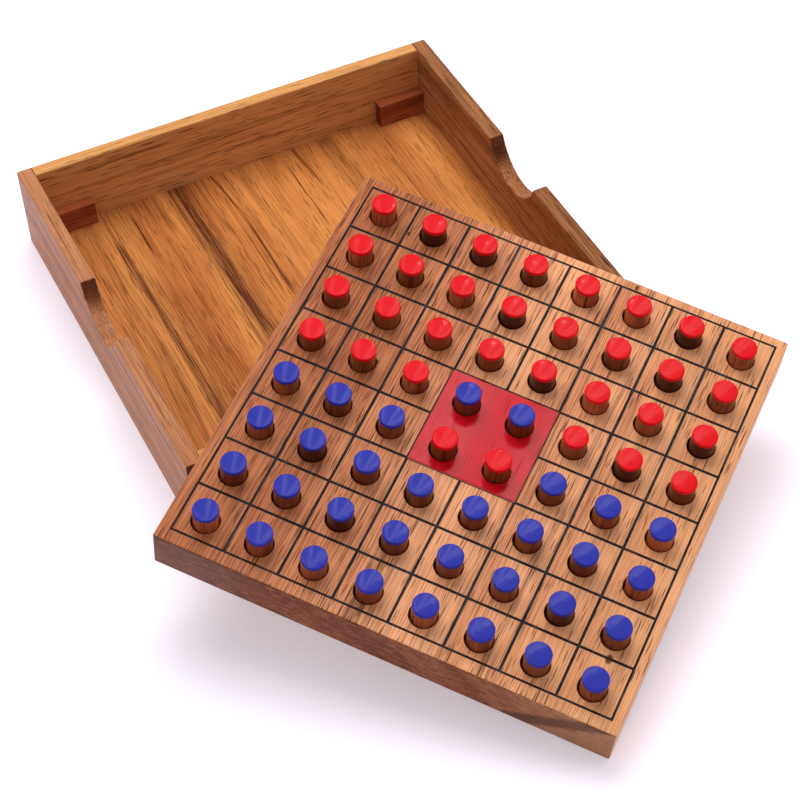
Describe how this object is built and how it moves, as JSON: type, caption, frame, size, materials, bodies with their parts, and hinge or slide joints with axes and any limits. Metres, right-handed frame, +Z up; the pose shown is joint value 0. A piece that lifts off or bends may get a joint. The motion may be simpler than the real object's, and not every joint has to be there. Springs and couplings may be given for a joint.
{
  "type": "peg reversi game",
  "caption": "Wooden peg reversi game: a thick gridded board with a red middle field and pegs, red at one end and blue at the other, leaning on its open storage tray.",
  "frame": {"origin": "middle of the tray's underside, on the table", "axes": "+X along the tray's back wall from left to right, +Y from the tray's front wall to its back wall, +Z up; the board leans on the front wall, on the -Y side"},
  "size_m": [0.2831, 0.406, 0.0906],
  "materials": {
    "tray_wood": "thin semi-gloss lacquer over reddish brown wood with dark open pores",
    "board_wood": "thin semi-gloss lacquer, printed charcoal lines and a glossy red middle field",
    "red_peg": "brown lacquered dowel, the upper end dipped in glossy red paint, the lower end in blue",
    "blue_peg": "brown lacquered dowel, the upper end dipped in glossy blue paint, the lower end in red"
  },
  "bodies": {
    "tray": {"floor_panel": "tray_wood", "left_wall": "tray_wood", "right_wall": "tray_wood", "back_wall": "tray_wood", "front_wall": "tray_wood", "corner_blocks": "tray_wood"},
    "board": {"board": "board_wood"},
    "blue_peg_a5": {"blue_peg_a5": "blue_peg"},
    "blue_peg_a6": {"blue_peg_a6": "blue_peg"},
    "blue_peg_a7": {"blue_peg_a7": "blue_peg"},
    "blue_peg_b5": {"blue_peg_b5": "blue_peg"},
    "blue_peg_b6": {"blue_peg_b6": "blue_peg"},
    "blue_peg_b7": {"blue_peg_b7": "blue_peg"},
    "blue_peg_c5": {"blue_peg_c5": "blue_peg"},
    "blue_peg_c6": {"blue_peg_c6": "blue_peg"},
    "blue_peg_c7": {"blue_peg_c7": "blue_peg"},
    "blue_peg_d4": {"blue_peg_d4": "blue_peg"},
    "blue_peg_d6": {"blue_peg_d6": "blue_peg"},
    "blue_peg_d7": {"blue_peg_d7": "blue_peg"},
    "blue_peg_e4": {"blue_peg_e4": "blue_peg"},
    "blue_peg_e6": {"blue_peg_e6": "blue_peg"},
    "blue_peg_e7": {"blue_peg_e7": "blue_peg"},
    "blue_peg_f5": {"blue_peg_f5": "blue_peg"},
    "blue_peg_f6": {"blue_peg_f6": "blue_peg"},
    "blue_peg_f7": {"blue_peg_f7": "blue_peg"},
    "blue_peg_g5": {"blue_peg_g5": "blue_peg"},
    "blue_peg_g6": {"blue_peg_g6": "blue_peg"},
    "blue_peg_g7": {"blue_peg_g7": "blue_peg"},
    "blue_peg_h5": {"blue_peg_h5": "blue_peg"},
    "blue_pegs_a8_b8": {"blue_pegs_a8_b8": "blue_peg"},
    "blue_pegs_c8_d8": {"blue_pegs_c8_d8": "blue_peg"},
    "blue_pegs_e8_f8": {"blue_pegs_e8_f8": "blue_peg"},
    "blue_pegs_g8_h8": {"blue_pegs_g8_h8": "blue_peg"},
    "blue_pegs_h6_h7": {"blue_pegs_h6_h7": "blue_peg"},
    "red_peg_a4": {"red_peg_a4": "red_peg"},
    "red_peg_b2": {"red_peg_b2": "red_peg"},
    "red_peg_b3": {"red_peg_b3": "red_peg"},
    "red_peg_b4": {"red_peg_b4": "red_peg"},
    "red_peg_c2": {"red_peg_c2": "red_peg"},
    "red_peg_c3": {"red_peg_c3": "red_peg"},
    "red_peg_c4": {"red_peg_c4": "red_peg"},
    "red_peg_d2": {"red_peg_d2": "red_peg"},
    "red_peg_d3": {"red_peg_d3": "red_peg"},
    "red_peg_d5": {"red_peg_d5": "red_peg"},
    "red_peg_e2": {"red_peg_e2": "red_peg"},
    "red_peg_e3": {"red_peg_e3": "red_peg"},
    "red_peg_e5": {"red_peg_e5": "red_peg"},
    "red_peg_f2": {"red_peg_f2": "red_peg"},
    "red_peg_f3": {"red_peg_f3": "red_peg"},
    "red_peg_f4": {"red_peg_f4": "red_peg"},
    "red_peg_g2": {"red_peg_g2": "red_peg"},
    "red_peg_g3": {"red_peg_g3": "red_peg"},
    "red_peg_g4": {"red_peg_g4": "red_peg"},
    "red_peg_h4": {"red_peg_h4": "red_peg"},
    "red_pegs_a1_b1": {"red_pegs_a1_b1": "red_peg"},
    "red_pegs_a2_a3": {"red_pegs_a2_a3": "red_peg"},
    "red_pegs_c1_d1": {"red_pegs_c1_d1": "red_peg"},
    "red_pegs_e1_f1": {"red_pegs_e1_f1": "red_peg"},
    "red_pegs_g1_h1": {"red_pegs_g1_h1": "red_peg"},
    "red_pegs_h2_h3": {"red_pegs_h2_h3": "red_peg"}
  },
  "joints": [
    {"name": "board_lift", "type": "slide", "parent": "tray", "child": "board", "axis": [0, 0, 1], "range_m": [0, 0.06]},
    {"name": "blue_peg_a5_pull", "type": "slide", "parent": "board", "child": "blue_peg_a5", "axis": [0, -0.2287, 0.9735], "range_m": [0, 0.016]},
    {"name": "blue_peg_a6_pull", "type": "slide", "parent": "board", "child": "blue_peg_a6", "axis": [0, -0.2287, 0.9735], "range_m": [0, 0.016]},
    {"name": "blue_peg_a7_pull", "type": "slide", "parent": "board", "child": "blue_peg_a7", "axis": [0, -0.2287, 0.9735], "range_m": [0, 0.016]},
    {"name": "blue_peg_b5_pull", "type": "slide", "parent": "board", "child": "blue_peg_b5", "axis": [0, -0.2287, 0.9735], "range_m": [0, 0.016]},
    {"name": "blue_peg_b6_pull", "type": "slide", "parent": "board", "child": "blue_peg_b6", "axis": [0, -0.2287, 0.9735], "range_m": [0, 0.016]},
    {"name": "blue_peg_b7_pull", "type": "slide", "parent": "board", "child": "blue_peg_b7", "axis": [0, -0.2287, 0.9735], "range_m": [0, 0.016]},
    {"name": "blue_peg_c5_pull", "type": "slide", "parent": "board", "child": "blue_peg_c5", "axis": [0, -0.2287, 0.9735], "range_m": [0, 0.016]},
    {"name": "blue_peg_c6_pull", "type": "slide", "parent": "board", "child": "blue_peg_c6", "axis": [0, -0.2287, 0.9735], "range_m": [0, 0.016]},
    {"name": "blue_peg_c7_pull", "type": "slide", "parent": "board", "child": "blue_peg_c7", "axis": [0, -0.2287, 0.9735], "range_m": [0, 0.016]},
    {"name": "blue_peg_d4_pull", "type": "slide", "parent": "board", "child": "blue_peg_d4", "axis": [0, -0.2287, 0.9735], "range_m": [0, 0.016]},
    {"name": "blue_peg_d6_pull", "type": "slide", "parent": "board", "child": "blue_peg_d6", "axis": [0, -0.2287, 0.9735], "range_m": [0, 0.016]},
    {"name": "blue_peg_d7_pull", "type": "slide", "parent": "board", "child": "blue_peg_d7", "axis": [0, -0.2287, 0.9735], "range_m": [0, 0.016]},
    {"name": "blue_peg_e4_pull", "type": "slide", "parent": "board", "child": "blue_peg_e4", "axis": [0, -0.2287, 0.9735], "range_m": [0, 0.016]},
    {"name": "blue_peg_e6_pull", "type": "slide", "parent": "board", "child": "blue_peg_e6", "axis": [0, -0.2287, 0.9735], "range_m": [0, 0.016]},
    {"name": "blue_peg_e7_pull", "type": "slide", "parent": "board", "child": "blue_peg_e7", "axis": [0, -0.2287, 0.9735], "range_m": [0, 0.016]},
    {"name": "blue_peg_f5_pull", "type": "slide", "parent": "board", "child": "blue_peg_f5", "axis": [0, -0.2287, 0.9735], "range_m": [0, 0.016]},
    {"name": "blue_peg_f6_pull", "type": "slide", "parent": "board", "child": "blue_peg_f6", "axis": [0, -0.2287, 0.9735], "range_m": [0, 0.016]},
    {"name": "blue_peg_f7_pull", "type": "slide", "parent": "board", "child": "blue_peg_f7", "axis": [0, -0.2287, 0.9735], "range_m": [0, 0.016]},
    {"name": "blue_peg_g5_pull", "type": "slide", "parent": "board", "child": "blue_peg_g5", "axis": [0, -0.2287, 0.9735], "range_m": [0, 0.016]},
    {"name": "blue_peg_g6_pull", "type": "slide", "parent": "board", "child": "blue_peg_g6", "axis": [0, -0.2287, 0.9735], "range_m": [0, 0.016]},
    {"name": "blue_peg_g7_pull", "type": "slide", "parent": "board", "child": "blue_peg_g7", "axis": [0, -0.2287, 0.9735], "range_m": [0, 0.016]},
    {"name": "blue_peg_h5_pull", "type": "slide", "parent": "board", "child": "blue_peg_h5", "axis": [0, -0.2287, 0.9735], "range_m": [0, 0.016]},
    {"name": "blue_pegs_a8_b8_pull", "type": "slide", "parent": "board", "child": "blue_pegs_a8_b8", "axis": [0, -0.2287, 0.9735], "range_m": [0, 0.016]},
    {"name": "blue_pegs_c8_d8_pull", "type": "slide", "parent": "board", "child": "blue_pegs_c8_d8", "axis": [0, -0.2287, 0.9735], "range_m": [0, 0.016]},
    {"name": "blue_pegs_e8_f8_pull", "type": "slide", "parent": "board", "child": "blue_pegs_e8_f8", "axis": [0, -0.2287, 0.9735], "range_m": [0, 0.016]},
    {"name": "blue_pegs_g8_h8_pull", "type": "slide", "parent": "board", "child": "blue_pegs_g8_h8", "axis": [0, -0.2287, 0.9735], "range_m": [0, 0.016]},
    {"name": "blue_pegs_h6_h7_pull", "type": "slide", "parent": "board", "child": "blue_pegs_h6_h7", "axis": [0, -0.2287, 0.9735], "range_m": [0, 0.016]},
    {"name": "red_peg_a4_pull", "type": "slide", "parent": "board", "child": "red_peg_a4", "axis": [0, -0.2287, 0.9735], "range_m": [0, 0.016]},
    {"name": "red_peg_b2_pull", "type": "slide", "parent": "board", "child": "red_peg_b2", "axis": [0, -0.2287, 0.9735], "range_m": [0, 0.016]},
    {"name": "red_peg_b3_pull", "type": "slide", "parent": "board", "child": "red_peg_b3", "axis": [0, -0.2287, 0.9735], "range_m": [0, 0.016]},
    {"name": "red_peg_b4_pull", "type": "slide", "parent": "board", "child": "red_peg_b4", "axis": [0, -0.2287, 0.9735], "range_m": [0, 0.016]},
    {"name": "red_peg_c2_pull", "type": "slide", "parent": "board", "child": "red_peg_c2", "axis": [0, -0.2287, 0.9735], "range_m": [0, 0.016]},
    {"name": "red_peg_c3_pull", "type": "slide", "parent": "board", "child": "red_peg_c3", "axis": [0, -0.2287, 0.9735], "range_m": [0, 0.016]},
    {"name": "red_peg_c4_pull", "type": "slide", "parent": "board", "child": "red_peg_c4", "axis": [0, -0.2287, 0.9735], "range_m": [0, 0.016]},
    {"name": "red_peg_d2_pull", "type": "slide", "parent": "board", "child": "red_peg_d2", "axis": [0, -0.2287, 0.9735], "range_m": [0, 0.016]},
    {"name": "red_peg_d3_pull", "type": "slide", "parent": "board", "child": "red_peg_d3", "axis": [0, -0.2287, 0.9735], "range_m": [0, 0.016]},
    {"name": "red_peg_d5_pull", "type": "slide", "parent": "board", "child": "red_peg_d5", "axis": [0, -0.2287, 0.9735], "range_m": [0, 0.016]},
    {"name": "red_peg_e2_pull", "type": "slide", "parent": "board", "child": "red_peg_e2", "axis": [0, -0.2287, 0.9735], "range_m": [0, 0.016]},
    {"name": "red_peg_e3_pull", "type": "slide", "parent": "board", "child": "red_peg_e3", "axis": [0, -0.2287, 0.9735], "range_m": [0, 0.016]},
    {"name": "red_peg_e5_pull", "type": "slide", "parent": "board", "child": "red_peg_e5", "axis": [0, -0.2287, 0.9735], "range_m": [0, 0.016]},
    {"name": "red_peg_f2_pull", "type": "slide", "parent": "board", "child": "red_peg_f2", "axis": [0, -0.2287, 0.9735], "range_m": [0, 0.016]},
    {"name": "red_peg_f3_pull", "type": "slide", "parent": "board", "child": "red_peg_f3", "axis": [0, -0.2287, 0.9735], "range_m": [0, 0.016]},
    {"name": "red_peg_f4_pull", "type": "slide", "parent": "board", "child": "red_peg_f4", "axis": [0, -0.2287, 0.9735], "range_m": [0, 0.016]},
    {"name": "red_peg_g2_pull", "type": "slide", "parent": "board", "child": "red_peg_g2", "axis": [0, -0.2287, 0.9735], "range_m": [0, 0.016]},
    {"name": "red_peg_g3_pull", "type": "slide", "parent": "board", "child": "red_peg_g3", "axis": [0, -0.2287, 0.9735], "range_m": [0, 0.016]},
    {"name": "red_peg_g4_pull", "type": "slide", "parent": "board", "child": "red_peg_g4", "axis": [0, -0.2287, 0.9735], "range_m": [0, 0.016]},
    {"name": "red_peg_h4_pull", "type": "slide", "parent": "board", "child": "red_peg_h4", "axis": [0, -0.2287, 0.9735], "range_m": [0, 0.016]},
    {"name": "red_pegs_a1_b1_pull", "type": "slide", "parent": "board", "child": "red_pegs_a1_b1", "axis": [0, -0.2287, 0.9735], "range_m": [0, 0.016]},
    {"name": "red_pegs_a2_a3_pull", "type": "slide", "parent": "board", "child": "red_pegs_a2_a3", "axis": [0, -0.2287, 0.9735], "range_m": [0, 0.016]},
    {"name": "red_pegs_c1_d1_pull", "type": "slide", "parent": "board", "child": "red_pegs_c1_d1", "axis": [0, -0.2287, 0.9735], "range_m": [0, 0.016]},
    {"name": "red_pegs_e1_f1_pull", "type": "slide", "parent": "board", "child": "red_pegs_e1_f1", "axis": [0, -0.2287, 0.9735], "range_m": [0, 0.016]},
    {"name": "red_pegs_g1_h1_pull", "type": "slide", "parent": "board", "child": "red_pegs_g1_h1", "axis": [0, -0.2287, 0.9735], "range_m": [0, 0.016]},
    {"name": "red_pegs_h2_h3_pull", "type": "slide", "parent": "board", "child": "red_pegs_h2_h3", "axis": [0, -0.2287, 0.9735], "range_m": [0, 0.016]}
  ]
}
